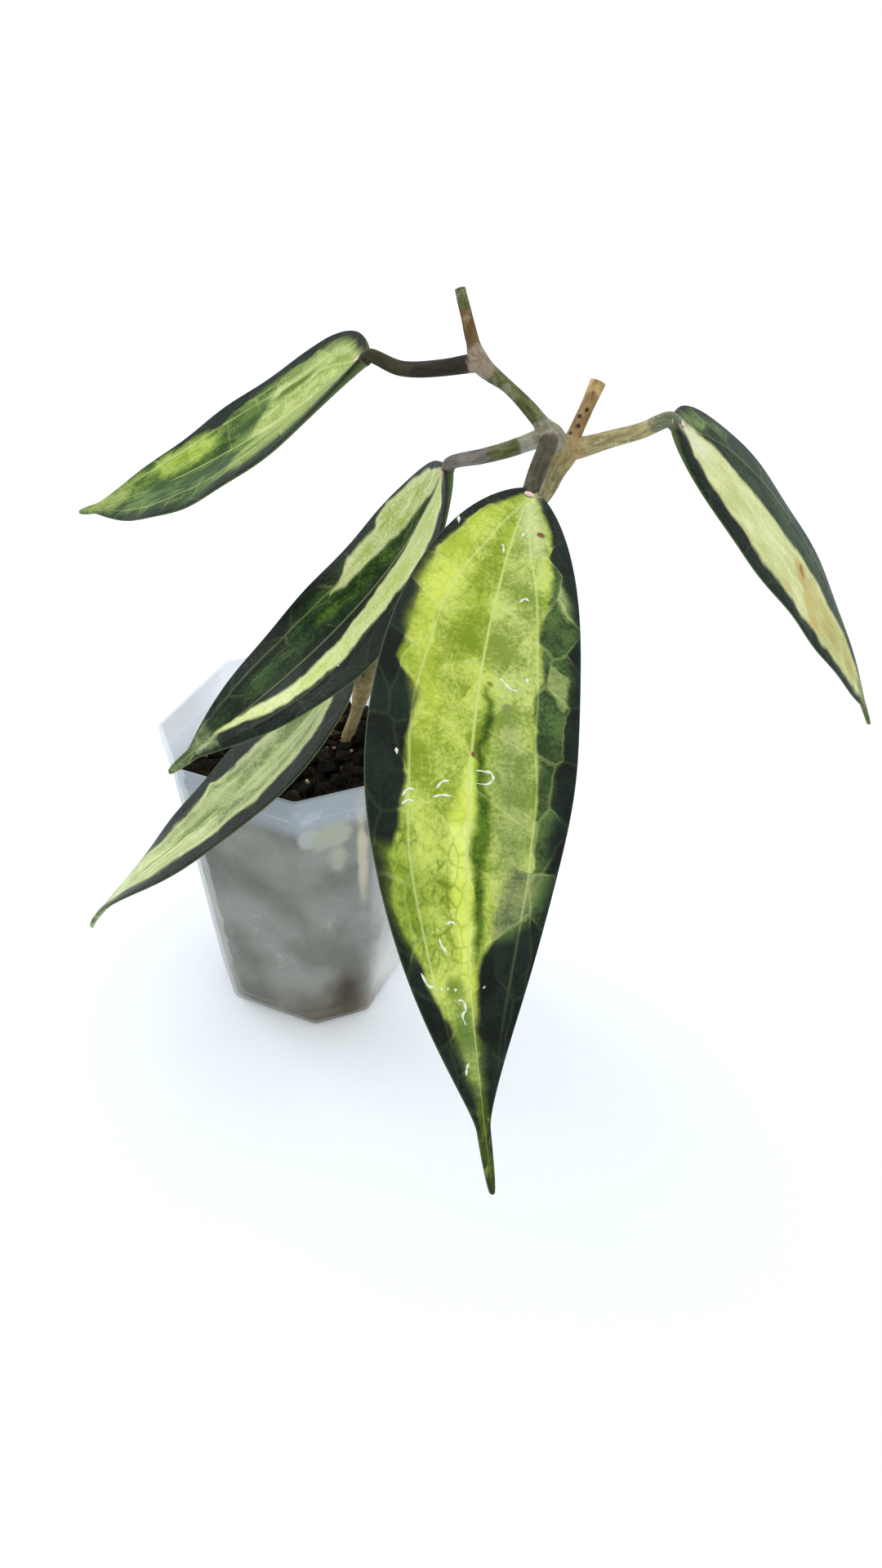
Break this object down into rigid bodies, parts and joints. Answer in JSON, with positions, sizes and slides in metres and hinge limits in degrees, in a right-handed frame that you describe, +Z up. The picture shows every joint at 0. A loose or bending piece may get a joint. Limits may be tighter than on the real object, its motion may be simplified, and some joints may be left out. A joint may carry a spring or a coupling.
{
  "type": "potted variegated hoya macrophylla",
  "caption": "Climbing plant with long pointed variegated leaves on a bare leaning stem, in a tall square pot of frosted clear plastic with bark mix.",
  "frame": {"origin": "middle of the pot's underside", "axes": "+Z up; +X and +Y square to the pot's flat sides, with the stem leaning towards +X"},
  "size_m": [0.2386, 0.2007, 0.2637],
  "materials": {
    "pot": "frosted clear plastic",
    "soil": "damp dark bark and coir",
    "woody_stem": "tan corky bark",
    "green_stem": "green skin with grey scurf",
    "stalk": "olive to purple-brown skin",
    "leaf_lower": "thick, half-gloss leaf",
    "leaf_front": "thick, half-gloss leaf",
    "leaf_right": "thick, half-gloss leaf",
    "leaf_middle": "thick, half-gloss leaf",
    "leaf_upper": "thick, half-gloss leaf"
  },
  "bodies": {
    "root": {"pot": "pot", "soil": "soil", "main_stem": "woody_stem", "shoot": "green_stem", "petiole_lower": "stalk", "petiole_front": "stalk", "petiole_right": "stalk", "petiole_middle": "stalk", "petiole_upper": "stalk", "leaf_lower": "leaf_lower", "leaf_front": "leaf_front", "leaf_right": "leaf_right", "leaf_middle": "leaf_middle", "leaf_upper": "leaf_upper"}
  },
  "joints": []
}
